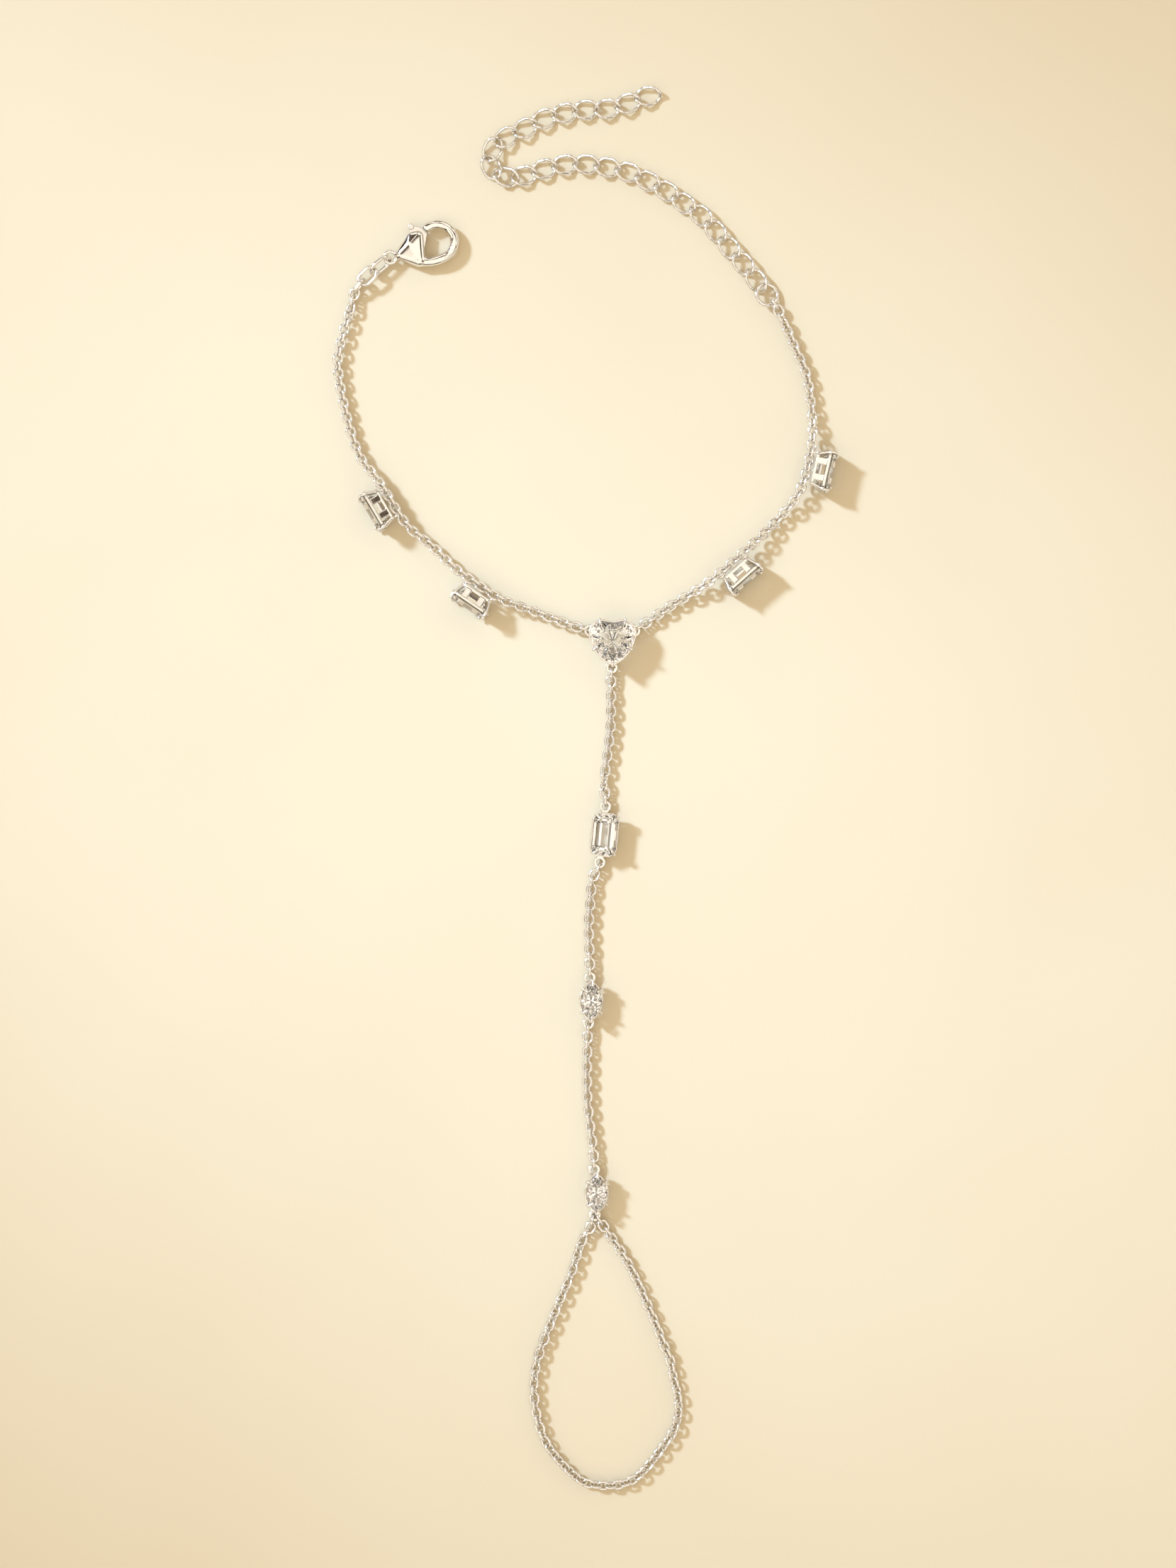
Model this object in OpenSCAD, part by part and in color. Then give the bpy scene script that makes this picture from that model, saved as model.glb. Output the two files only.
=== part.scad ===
// Hand chain bracelet with an open wrist loop, a chain over the hand and a finger loop.
// It lies flat: +X to the right, +Y towards the clasp, +Z up from the surface.

/* [Fine chain] */
// Thickness of the fine chain's wire
cable_wire = 0.38; // [0.3:0.01:0.38]
// Outer length of one fine link
cable_length = 1.96; // [1.8:0.05:2.1]
// Outer width of one fine link
cable_width = 1.6; // [1.5:0.05:1.75]
// Play between two pieces that hook into each other
play = 0.15; // [0.1:0.01:0.18]
// Length of the left wrist chain, from the heart to the end link
left_length = 67; // [60:1:68]
// Length of the right wrist chain, from the heart to the extender ring
right_length = 59.5; // [53:0.5:60]
// Length of the chain from the heart to the emerald
hand_length_1 = 19.5; // [14:0.1:22]
// Length of the chain from the emerald to the first marquise
hand_length_2 = 16.8; // [12:0.2:20]
// Length of the chain between the two marquises
hand_length_3 = 20.6; // [16:0.2:24]
// Distance along the chain from the heart to the nearer wrist stone
station_near = 17; // [13:0.5:18]
// Distance along the chain from the heart to the further wrist stone
station_far = 34.2; // [30:0.1:38]

/* [Extender] */
// Thickness of the extender's wire
curb_wire = 0.45; // [0.35:0.05:0.5]
// Outer length of one extender link
curb_length = 4.05; // [3.6:0.05:4.4]
// Outer width of one extender link
curb_width = 2.9; // [2.4:0.05:3]
// Number of extender links
curb_count = 25; // [12:1:26]
// Outer diameter of the ring that the extender starts at
ring_outer = 3.6; // [3.3:0.1:4.2]
// Thickness of that ring's wire
ring_wire = 0.52; // [0.4:0.02:0.56]

/* [Clasp] */
// Distance from the clasp's eye to the middle of its hook
hook_reach = 7; // [7:0.1:8]
// Radius of the hook's wire line
hook_bend = 2.43; // [2.2:0.01:2.5]
// Thickness of the hook's wire
hook_wire = 1.2; // [1:0.05:1.3]
// Thickness of the clasp's body at its wide end
clasp_thick = 2.2; // [2:0.1:2.6]
// Thickness of the lever
lever_thick = 0.7; // [0.5:0.05:0.8]
// Diameter of the lever's pivot pin
pin_d = 0.7; // [0.5:0.05:0.8]
// Running clearance of the lever, on its pin and beside its faces
lever_clear = 0.05; // [0.03:0.01:0.08]
// Outer diameter of the clasp's eye
clasp_eye = 2.2; // [2:0.1:2.4]
// Thickness of the eye's wire
clasp_eye_wire = 0.5; // [0.4:0.05:0.5]
// Outer length of the ring in the clasp's eye
clasp_ring_length = 3.8; // [3.6:0.1:4]
// Outer length of the middle ring
middle_ring_length = 3.4; // [3.2:0.1:3.6]
// Outer length of the end link
end_link_length = 2.8; // [2.6:0.1:3]
// Thickness of the wire of the rings and the end link
joint_wire = 0.55; // [0.45:0.05:0.6]

/* [Stones] */
// Length of an emerald-cut stone
emerald_length = 5.8; // [5.4:0.1:6.2]
// Width of an emerald-cut stone
emerald_width = 3.5; // [3.3:0.1:3.8]
// Length of a marquise stone
marquise_length = 5.3; // [5:0.1:5.8]
// Width of a marquise stone
marquise_width = 3.1; // [2.9:0.1:3.4]
// Width of the heart stone
heart_width = 6.4; // [6.2:0.1:7]
// Length of the heart stone
heart_length = 6.1; // [5.9:0.1:6.7]
// Height of a crown above its girdle
crown_h = 0.5; // [0.4:0.05:0.6]
// Depth of a stone below its girdle
pavilion_h = 1.5; // [1.3:0.05:1.7]
// Thickness of a girdle
girdle_h = 0.12; // [0.08:0.02:0.2]

/* [Settings] */
// Height of a girdle above the foot of its setting
seat_h = 2.2; // [2.1:0.1:2.6]
// Height of the heart's girdle above the foot of its setting
heart_seat_h = 3.4; // [2.6:0.1:3.6]
// Width of a rail, measured across its wall
rail_width = 0.35; // [0.3:0.05:0.4]
// Height of a rail
rail_height = 0.4; // [0.35:0.01:0.45]
// Distance that the foot rail stands inside the stone's outline
foot_inset = 0.4; // [0.3:0.05:0.5]
// Diameter of a prong
prong_d = 0.38; // [0.34:0.02:0.46]
// Width of the flat bars on the long sides of an emerald setting
bar_width = 0.95; // [0.8:0.05:1.1]
// Gap between a stone and its metal
stone_gap = 0.04; // [0.03:0.01:0.06]
// Outer diameter of the eye that a chain hooks into
eye_outer = 1.7; // [1.6:0.05:1.9]
// Width of the metal around that eye's hole
eye_wall = 0.4; // [0.35:0.05:0.45]
// Thickness of the eye
eye_thick = 0.45; // [0.35:0.05:0.5]
// Lean of the emerald and marquise settings to one side
lean = 13; // [8:1:14]

/* [Hidden] */

// Where the heart lies, and its three eyes measured from its middle
box_middle = [0.404, 0.371];
heart_place = [4.2, 20.8] - box_middle;
heart_eyes = [[-3.15, 1.75], [3.1, 1.75], [-0.1, -3.45]];

// Route of the left wrist chain, from the heart's left eye to the clasp's eye and on
left_route = [
    [-2.2, 23.5], [-6.7, 25.2], [-11.4, 26.9], [-15.1, 29.2], [-18.1, 31.4], [-21.4, 34.6],
    [-24.2, 36.8], [-25.9, 39], [-27.4, 41.5], [-29.1, 44.1], [-31.1, 46.6],
    [-32.7, 50.7], [-34, 56.2], [-34.5, 60.5],
    [-33.9, 63.8], [-32.7, 67.8], [-32, 70.3], [-30.4, 72.3], [-28.4, 74], [-26, 76], [-24, 78]
];
// Route of the right wrist chain, from the heart's right eye to the extender ring
right_route = [
    [9.3, 23.9], [13, 26.4], [15.6, 27.9], [18.5, 29.9], [21.4, 32.4], [24.1, 34.8], [27.1, 37.7],
    [30, 41.2], [31.2, 44], [31.9, 46.9], [32.4, 51], [31.7, 57.9], [30.1, 62], [28.4, 65.9],
    [27.4, 68], [26.1, 69.7], [24.4, 71.8], [22.6, 74.1], [20.7, 76.3]
];
// Route of the extender, measured from the extender ring
curb_route = [
    [0, 0], [-1.7, 2.3], [-3.5, 4.6], [-5.4, 6.8], [-7.3, 9.1], [-9.3, 11.2], [-11.8, 13],
    [-14.3, 14.7], [-16.9, 16.1], [-19.6, 17.3], [-22.7, 18], [-25.7, 18.4], [-28.7, 18.3],
    [-31.8, 17.6], [-34.6, 16.7], [-37.4, 16.8], [-39.3, 19], [-37.6, 21.6], [-34.7, 23.1],
    [-32.1, 24.5], [-29.3, 25.4], [-26.3, 26], [-23.4, 26.1], [-20.4, 26.6], [-17.7, 27.9],
    [-14.8, 27.8], [-11.8, 27.7]
];
// Route of the chain over the hand, from the heart's tip to the finger loop
hand_route = [
    [4, 15.3], [4, 9.8], [3.5, 5], [3, 0.9], [3.2, -1.8], [2.4, -10], [1.4, -12.4],
    [1.2, -14.8], [0.9, -18.6], [1, -23.6], [1, -25.8], [0.8, -32.6], [0.7, -35], [0.7, -43.3],
    [1.5, -50.7], [1.6, -53], [1.7, -60], [1.7, -68]
];
// Route of the finger loop, measured from the last marquise's lower eye
finger_route = [
    [-0.5, -1.4], [-1.8, -3.7], [-3.2, -8], [-4.6, -11.4], [-6.2, -15.3], [-7.8, -19.5], [-8.5, -23.2],
    [-8.5, -25.5], [-8.2, -27.9], [-7.6, -30.2], [-6.7, -32.3], [-5.4, -34.1], [-3.7, -35.9],
    [-1.5, -37.6], [1, -38.1], [3.3, -38], [5.5, -37.2], [7.5, -35.4], [9.5, -32.8], [11.1, -30.4],
    [11.8, -27.9], [11.7, -25.4], [11.1, -22.9], [10.6, -20.4], [9.6, -18], [8.8, -15.9],
    [6.9, -11.4], [5.8, -9], [4.4, -6.3], [3, -4.1], [0.7, -1.5]
];

// Pitch of the fine chain, and the step from a link to an eye
cable_bend = (cable_width - cable_wire) / 2;
cable_pitch = hooked(cable_length, cable_wire, cable_length, cable_wire);
cable_eye = hooked(cable_length, cable_wire, eye_outer, eye_wall);
// Links over which a chain turns from upright at an eye to its lying roll
roll_links = 4;
lying_roll = 25;
// Height of a chain's line where it hooks into an eye
rest_gap = 0.03;
eye_level = cable_width / 2 + rest_gap;
// Link counts of the fine chains
left_count = round((left_length - cable_eye) / cable_pitch);
right_count = round((right_length - cable_eye) / cable_pitch);
hand_count_1 = round((hand_length_1 - 2 * cable_eye) / cable_pitch) + 1;
hand_count_2 = round((hand_length_2 - 2 * cable_eye) / cable_pitch) + 1;
hand_count_3 = round((hand_length_3 - 2 * cable_eye) / cable_pitch) + 1;
// Links that are soldered behind a wrist setting, counted from the middle one
solder_step = 2;
solder_d = 0.34;
link_clear = 0.1;
// A wrist chain's line stays this much higher, for the slope up to its settings
floor_gap = 0.1;
// Distance from a chain's line to the foot of a wrist setting
chain_back = cable_bend * cos(lying_roll) + cable_wire / 2 + link_clear;
// A wrist setting lies on the lip of its front rail
rail_lip = 0.2;
side_rest = emerald_width / 2 + rail_lip;
lift_ramp = 7;
// Share of the stones' sizes
corner_share = 0.22;
table_share = 0.58;
star_share = 0.8;
star_height = 0.6;
lower_share = 0.55;
lower_depth = 0.52;
// The front rail sits below the girdle, with its inner edge clear of the stone
rail_drop = 0.15;
rail_inside = 0.08;
prong_over = 0.3;
prong_reach = 0.38;
prong_stand = 0.1;
prong_ball = 1.25;
// Widths between the eyes of the settings, and the necks that carry the eyes
neck_width = 0.95;
heart_neck = 1.8;
emerald_span = emerald_length + 2.1;
emerald_neck = (emerald_span - emerald_length + rail_width) / 2 + foot_inset;
marquise_span = marquise_length + 1.1;
marquise_neck = (marquise_span - marquise_length) / 2 + 1.6 * (foot_inset + rail_width / 2);
// Widths of the rings between the chain and the clasp
end_link_width = 2;
middle_ring_width = 2.4;
clasp_ring_width = 2.7;
// The rings stand on edge, which lifts the line through them
joint_lift = 0.3;
// Shape of the clasp, measured from the middle of its eye
clasp_turn = 15;
hook_rise = 0.43;
hook_start = -75;
hook_sweep = 197;
hook_tuck = 4;
arm_bend = 5.5;
arm_swell = 0.1;
arm_start = -116;
body_balls = [
    [1.45, 0, 0.7], [3.9, -1.45, 0.95], [3.2, 0.9, 1.1], [3.6, 1.9, 0.85], [4.55, 1.85, 0.9]
];
pivot = [3.85, -1.3];
gate_end = [5.88, 1.88];
gate_top = [5.25, 2.95];
hub_d = 1.3;
thumb = [3.95, 3.4];
thumb_d = 0.8;
thumb_thick = 1.2;
slot_start = 14;
slot_sweep = 106;
slot_reach = 5.4;
// Finger loop's stand-in tube
tube_d = 1.3;
tube_sides = 8;
// Facets of the twisted links
curb_rings = 16;
curb_sides = 6;
curb_twist = 45;
ring_tilt = 20;
// Where the extender folds back, its links hang closer together
fold_first = 14;
fold_last = 17;
fold_slack = 0.5;

// Directions, easing and sums
function unit(v) = v / norm(v);
function mix(a, b, t) = a + (b - a) * t;
function clamp(t) = min(1, max(0, t));
function ease(t) = (1 - cos(180 * clamp(t))) / 2;
function at_height(p, z) = [p.x, p.y, z];
function flat(v) = unit([v.x, v.y, 0]);

// Distance between the middles of two pieces that hook into each other
function hooked(length_a, wire_a, length_b, wire_b) = (length_a + length_b) / 2 - wire_a - wire_b - play;

// Smooth curve through a list of points
function curve(p, parts) = [
    for (i = [0:len(p) - 2], k = [0:parts - 1])
        let (a = p[max(i - 1, 0)], b = p[i], c = p[i + 1], d = p[min(i + 2, len(p) - 1)], t = k / parts)
        (2 * b + (c - a) * t + (2 * a - 5 * b + 4 * c - d) * t * t
            + (3 * b - a - 3 * c + d) * t * t * t) / 2,
    p[len(p) - 1]
];
// Length along a line of points up to each of them
function lengths(p) = [
    for (i = 0, s = 0; i < len(p); s = s + norm(p[min(i + 1, len(p) - 1)] - p[i]), i = i + 1) s
];
// Where a line of points leaves the ball of radius d about c
function leave(a, b, c, d) =
    let (u = b - a, w = a - c, k = u * u, m = u * w)
    a + u * (sqrt(m * m - k * (w * w - d * d)) - m) / k;
function reach(p, c, d, i) =
    i >= len(p) - 2 || norm(p[i + 1] - c) >= d ? [i, leave(p[i], p[i + 1], c, d)] : reach(p, c, d, i + 1);
// Places along a line of points, each one gap away from the one before it
function stops(p, gaps, place, from = 0, k = 0) =
    k == len(gaps) ? [place]
    : let (hit = reach(p, place, gaps[k], from)) concat([place], stops(p, gaps, hit[1], hit[0], k + 1));
function heading(s, i) = unit(s[i + 1] - s[i - 1]);
function repeated(value, count) = [for (i = [1:1:count]) value];
function total(list, n, i = 0) = i >= n ? 0 : list[i] + total(list, n, i + 1);

// Height of a chain's line at a distance from the nearest eye, so that its links rest on the surface
function chain_height(d) =
    let (turned = lying_roll * ease((d - cable_eye) / (roll_links * cable_pitch)))
    rest_gap + cable_wire / 2 + cable_bend * cos(turned);
function nearest(s, list) = min([for (f = list) abs(s - f)]);
// A route measured from the middle of the part's box
function from_middle(route) = [for (p = route) p - box_middle];
// Share by which a wrist setting lifts the chain
function lift(s, list) = ease(1 - (nearest(s, list) - emerald_length / 2) / lift_ramp);
function wrist_height(s, end) =
    mix(
        chain_height(nearest(s, [0, end])) + floor_gap * ease(s / (roll_links * cable_pitch)), side_rest,
        lift(s, [station_near, station_far])
    );
// Roll of link i in a chain of n links that starts upright
function roll(i, n, upright_end) =
    let (end = (n % 2 == 1) == upright_end ? 0 : 90)
    90 * ((i + 1) % 2) + lying_roll * ease(i / roll_links)
    + (end - lying_roll) * ease((i - n + 1 + roll_links) / roll_links);

// Outlines of the stones, anticlockwise
function side_normal(a, b) = unit([b.y - a.y, a.x - b.x]);
function corner_normals(p, i) =
    [side_normal(p[(i + len(p) - 1) % len(p)], p[i]), side_normal(p[i], p[(i + 1) % len(p)])];
function corner_normal(p, i) = let (n = corner_normals(p, i)) unit(n[0] + n[1]);
function inset(p, d) = [
    for (i = [0:len(p) - 1])
        let (n = corner_normals(p, i)) p[i] - (n[0] + n[1]) * d / (1 + n[0] * n[1])
];
function emerald_outline() =
    let (a = emerald_length / 2, b = emerald_width / 2, c = corner_share * emerald_width)
    [[a, b - c], [a - c, b], [c - a, b], [-a, b - c], [-a, c - b], [c - a, -b], [a - c, -b], [a, c - b]];
marquise_steps = 8;
function marquise_outline() =
    let (a = marquise_length / 2, b = marquise_width / 2, r = (a * a + b * b) / (2 * b), h = asin(a / r))
    [
        for (side = [1, -1], k = [0:marquise_steps - 1])
            let (t = 90 - h + 2 * h * k / marquise_steps)
            side * [r * cos(t), b - r + r * sin(t)]
    ];
heart_side_steps = 6;
heart_lobe_steps = 5;
function heart_half() =
    let (
        w = heart_width / 2, l = heart_length / 2, r = 0.53 * w, middle = [0.47 * w, l - r],
        tip = [0, -l], swell = [0.76 * w, -0.69 * l], end = middle + r * [cos(15), -sin(15)]
    )
    concat(
        [
            for (k = [1:heart_side_steps - 1])
                let (t = k / heart_side_steps) mix(mix(tip, swell, t), mix(swell, end, t), t)
        ],
        [
            for (k = [0:heart_lobe_steps])
                let (t = -15 + 120 * k / heart_lobe_steps) middle + r * [cos(t), sin(t)]
        ]
    );
function heart_outline() =
    let (half = heart_half(), n = len(half), l = heart_length / 2)
    concat([[0, -l]], half, [[0, 0.9 * l]], [for (k = [n - 1:-1:0]) [-half[k].x, half[k].y]]);

// Faces of rings of points, stacked one on the next, with both ends closed
function wall_faces(m, a, b) = [
    for (i = [0:m - 1])
        let (j = (i + 1) % m)
        each [[b * m + i, b * m + j, a * m + j], [b * m + i, a * m + j, a * m + i]]
];
function stack_faces(m, rings) = concat(
    [[for (i = [0:m - 1]) i]],
    [[for (i = [m - 1:-1:0]) (rings - 1) * m + i]],
    [for (r = [0:rings - 2]) each wall_faces(m, r, r + 1)]
);
function shift_faces(faces, by) = [for (f = faces) [for (v = f) v + by]];

// An oval link of round wire, long along X
module oval_link(length, width, wire) {
    bend = (width - wire) / 2;
    straight = (length - width) / 2;
    for (side = [0, 180])
        rotate([0, 0, side]) {
            translate([straight, 0, 0])
                rotate([0, 0, -90])
                    rotate_extrude(angle = 180, $fn = 32) translate([bend, 0]) circle(d = wire, $fn = 16);
            translate([0, bend, 0])
                rotate([0, 90, 0]) cylinder(d = wire, h = 2 * straight, center = true, $fn = 16);
        }
}
module cable_link() {
    oval_link(cable_length, cable_width, cable_wire);
}
// Stands its children at a place, with X along a direction and a roll about it
module along(place, dir, turn) {
    translate(place) rotate([turn, -asin(dir.z), atan2(dir.y, dir.x)]) children();
}
// The links of one chain, left out where they are soldered to a setting
module links(s, first, count, upright_end, soldered = []) {
    for (i = [0:count - 1])
        if (len(search(i, soldered)) == 0)
            along(s[first + i], heading(s, first + i), roll(i, count, upright_end)) cable_link();
}
module wire_ring(outer, wire) {
    rotate_extrude($fn = 48) translate([(outer - wire) / 2, 0]) circle(d = wire, $fn = 16);
}
// A round rod between two points
module rod(a, b, d) {
    v = b - a;
    translate(a) rotate([0, acos(v.z / norm(v)), atan2(v.y, v.x)]) cylinder(d = d, h = norm(v), $fn = 16);
}

// The left wrist chain and what follows it to the clasp's eye
left_gaps = concat(
    [cable_eye], repeated(cable_pitch, left_count - 1),
    [
        hooked(cable_length, cable_wire, end_link_length, joint_wire),
        hooked(end_link_length, joint_wire, middle_ring_length, joint_wire),
        hooked(middle_ring_length, joint_wire, clasp_ring_length, joint_wire),
        hooked(clasp_ring_length, joint_wire, clasp_eye, clasp_eye_wire)
    ]
);
left_end = total(left_gaps, left_count);
left_line = curve(concat([heart_place + heart_eyes[0]], from_middle(left_route)), 6);
left_places = lengths(left_line);
left_clasp_rise = total(left_gaps, len(left_gaps)) - left_end;
function clasp_height(rise) =
    mix(eye_level + floor_gap, clasp_thick / 2, ease(2.6 * rise)) + joint_lift * sin(180 * clamp(rise));
left_path = [
    for (i = [0:len(left_line) - 1])
        let (s = left_places[i])
        at_height(
            left_line[i],
            s < left_end ? wrist_height(s, left_end + cable_eye)
            : clasp_height((s - left_end) / left_clasp_rise)
        )
];
left_stops = stops(left_path, left_gaps, left_path[0]);

// The right wrist chain, up to the extender ring
right_gaps = concat(
    [cable_eye], repeated(cable_pitch, right_count - 1),
    [hooked(cable_length, cable_wire, ring_outer, ring_wire) + play / 4]
);
right_end = total(right_gaps, len(right_gaps));
right_line = curve(concat([heart_place + heart_eyes[1]], from_middle(right_route)), 6);
right_places = lengths(right_line);
right_path = [
    for (i = [0:len(right_line) - 1])
        at_height(right_line[i], wrist_height(right_places[i], right_end))
];
right_stops = stops(right_path, right_gaps, right_path[0]);

// One twisted link: an oval turned about its length from end to end, as rings of points
curb_half = (curb_length - curb_wire) / 2;
curb_line = [
    for (k = [0:curb_rings - 1])
        let (a = 360 * (k + 0.5) / curb_rings) [curb_half * cos(a), (curb_width - curb_wire) / 2 * sin(a)]
];
function curb_angle(p) = curb_twist * p.x / curb_half;
function twisted(p) = [p.x, p.y * cos(curb_angle(p)), p.y * sin(curb_angle(p))];
curb_shell = [
    for (k = [0:curb_rings - 1])
        let (
            p = curb_line[k],
            next = twisted(curb_line[(k + 1) % curb_rings]),
            before = twisted(curb_line[(k + curb_rings - 1) % curb_rings]),
            ahead = unit(next - before),
            across = unit(cross([0, -sin(curb_angle(p)), cos(curb_angle(p))], ahead)),
            up = cross(ahead, across)
        )
        for (i = [0:curb_sides - 1])
            let (a = 360 * i / curb_sides)
            twisted(p) + curb_wire / 2 * (cos(a) * across + sin(a) * up)
];
curb_faces = [for (k = [0:curb_rings - 1]) each wall_faces(curb_sides, k, (k + 1) % curb_rings)];
curb_level = max([for (p = curb_shell) p.z]);

// The extender, from its ring to the last link
curb_pitch = hooked(curb_length, curb_wire, curb_length, curb_wire);
curb_gaps = [
    hooked(ring_outer, ring_wire, curb_length, curb_wire) - play,
    for (k = [1:curb_count]) k >= fold_first && k <= fold_last ? curb_pitch - fold_slack : curb_pitch
];
ring_place = right_stops[len(right_stops) - 1];
curb_path = [
    for (p = curve(curb_route, 6))
        let (down = ease(norm(p) / (3 * curb_length)))
        [ring_place.x + p.x, ring_place.y + p.y, mix(ring_place.z, curb_level, down)]
];
curb_stops = stops(curb_path, curb_gaps, curb_path[0]);

// The chain over the hand, eye by eye and link by link
hand_gaps = concat(
    [cable_eye], repeated(cable_pitch, hand_count_1 - 1), [cable_eye, emerald_span],
    [cable_eye], repeated(cable_pitch, hand_count_2 - 1), [cable_eye, marquise_span],
    [cable_eye], repeated(cable_pitch, hand_count_3 - 1), [cable_eye, marquise_span]
);
emerald_stop = hand_count_1 + 1;
marquise_stop_1 = emerald_stop + hand_count_2 + 2;
marquise_stop_2 = marquise_stop_1 + hand_count_3 + 2;
hand_eyes = [
    0, for (k = [emerald_stop, marquise_stop_1, marquise_stop_2], side = [0, 1]) total(hand_gaps, k + side)
];
hand_line = curve(concat([heart_place + heart_eyes[2]], from_middle(hand_route)), 6);
hand_places = lengths(hand_line);
hand_path = [
    for (i = [0:len(hand_line) - 1])
        at_height(hand_line[i], chain_height(nearest(hand_places[i], hand_eyes)))
];
hand_stops = stops(hand_path, hand_gaps, hand_path[0]);

// Stones
function ring_at(outline, share, z) = [for (p = outline) [p.x * share, p.y * share, z]];
function every_other(list, from) = [for (i = [from:2:len(list) - 1]) list[i]];
// A stone of kites and triangles on an outline with an even number of corners
module brilliant(outline, seat) {
    m = len(outline);
    n = m / 2;
    top = seat + girdle_h;
    star = 2 * m;
    table = star + n;
    lower = table + n;
    culet = lower + n;
    polyhedron(
        points = concat(
            ring_at(outline, 1, top), ring_at(outline, 1, seat),
            ring_at(every_other(outline, 1), star_share, top + star_height * crown_h),
            ring_at(every_other(outline, 0), table_share, top + crown_h),
            ring_at(every_other(outline, 1), lower_share, seat - lower_depth * pavilion_h),
            [[0, 0, seat - pavilion_h]]
        ),
        faces = concat(
            wall_faces(m, 1, 0),
            [[for (j = [n - 1:-1:0]) table + j]],
            [
                for (j = [0:n - 1])
                    let (
                        k = 2 * j, k1 = k + 1, k2 = (k + 2) % m,
                        before = (j + n - 1) % n, next = (j + 1) % n
                    )
                    each [
                        [table + j, star + j, k], [k, star + before, table + j],
                        [table + next, star + j, table + j],
                        [star + j, k1, k], [star + j, k2, k1],
                        [lower + j, m + k, m + k1], [lower + j, m + k1, m + k2],
                        [m + k, lower + j, culet], [m + k, culet, lower + before]
                    ]
            ]
        )
    );
}
// Steps of an emerald cut, from its keel to its table: distance inside the outline and height
function emerald_steps(seat) = [
    [0.74 * emerald_width / 2, seat - pavilion_h],
    [0.52 * emerald_width / 2, seat - 0.68 * pavilion_h],
    [0.27 * emerald_width / 2, seat - 0.36 * pavilion_h],
    [0, seat],
    [0, seat + girdle_h],
    [emerald_crown / 2, seat + girdle_h + crown_h / 2],
    [emerald_crown, seat + girdle_h + crown_h]
];
emerald_crown = 0.4 * emerald_width / 2;
module emerald_stone_at(seat) {
    steps = emerald_steps(seat);
    polyhedron(
        points = [for (s = steps) each [for (p = inset(emerald_outline(), s[0])) at_height(p, s[1])]],
        faces = stack_faces(8, len(steps))
    );
}

// Settings
module rail(outline, outer, inner) {
    linear_extrude(rail_height)
        difference() {
            polygon(inset(outline, outer));
            polygon(inset(outline, inner));
        }
}
// A prong from the foot rail up past the girdle and over the crown, which rises over a distance of spread
module prong(p, n, spread, seat) {
    top = seat + girdle_h;
    rise = crown_h * min(1, prong_reach / spread);
    foot = at_height(p - n * (foot_inset + rail_width / 2), rail_height / 2);
    out = p + n * (prong_d / 2 + stone_gap);
    knee = at_height(out, seat - rail_drop - rail_height / 2);
    bend = at_height(out, top + prong_over);
    tip = at_height(p - n * prong_reach, top + rise + prong_d / 2 + stone_gap + prong_stand);
    rod(foot, knee, prong_d);
    rod(knee, bend, prong_d);
    rod(bend, tip, prong_d);
    for (ball = [knee, bend, tip]) translate(ball) sphere(d = prong_ball * prong_d, $fn = 16);
}
// An open setting: a foot rail, a front rail and its prongs, each [place, outward direction, spread]
module basket(outline, prongs, seat) {
    rail(outline, foot_inset, foot_inset + rail_width);
    translate([0, 0, seat - rail_drop - rail_height]) rail(outline, -rail_lip, rail_inside);
    for (q = prongs) prong(q[0], q[1], q[2], seat);
}
// An eye that a chain hooks into, on a neck that runs in to the foot rail
module eye(place, inward, reach, level) {
    top = level + eye_thick / 2;
    translate(place)
        rotate([0, 0, atan2(inward.y, inward.x)])
            difference() {
                union() {
                    translate([0, 0, level - eye_thick / 2]) cylinder(d = eye_outer, h = eye_thick, $fn = 32);
                    translate([0, -neck_width / 2, 0]) cube([reach, neck_width, top]);
                }
                translate([0, 0, -1]) cylinder(d = eye_outer - 2 * eye_wall, h = top + 2, $fn = 32);
            }
}
function emerald_prongs() = [
    for (o = [emerald_outline()], k = [0:2:6])
        [(o[k] + o[k + 1]) / 2, side_normal(o[k], o[k + 1]), emerald_crown]
];
function corner_prongs(outline, corners) = [
    for (k = corners) [outline[k], corner_normal(outline, k), (1 - table_share) * norm(outline[k])]
];
bar_at = 1.15;
bar_thick = 0.3;
// The flat bars on the long sides of an emerald setting
module emerald_bars() {
    foot = emerald_width / 2 - foot_inset - rail_width / 2;
    front = emerald_width / 2 - bar_thick / 2 + 0.06;
    rise = seat_h - rail_drop - rail_height;
    for (side = [0, 180], x = [-bar_at, bar_at])
        rotate([0, 0, side])
            translate([x, foot, rail_height / 2])
                rotate([-atan2(front - foot, rise), 0, 0])
                    translate([-bar_width / 2, -bar_thick / 2, 0])
                        cube([bar_width, bar_thick, norm([front - foot, rise])]);
}
module emerald_basket() {
    basket(emerald_outline(), emerald_prongs(), seat_h);
    emerald_bars();
}
module marquise_basket() {
    basket(marquise_outline(), corner_prongs(marquise_outline(), [0, 2, 6, 8, 10, 14]), seat_h);
}

// A setting on the hand chain: X from one eye to the other, turned about the line of its eyes
function eye_height(half_width) = (eye_level - (half_width - foot_inset) * sin(lean)) / cos(lean);
module on_hand(stop, half_width) {
    a = hand_stops[stop];
    b = hand_stops[stop + 1];
    along((a + b) / 2, unit(b - a), -lean) translate([0, 0, -eye_height(half_width)]) children();
}
module end_eyes(span, reach, half_width) {
    for (side = [-1, 1]) eye([side * span / 2, 0], [-side, 0], reach, eye_height(half_width));
}

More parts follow.
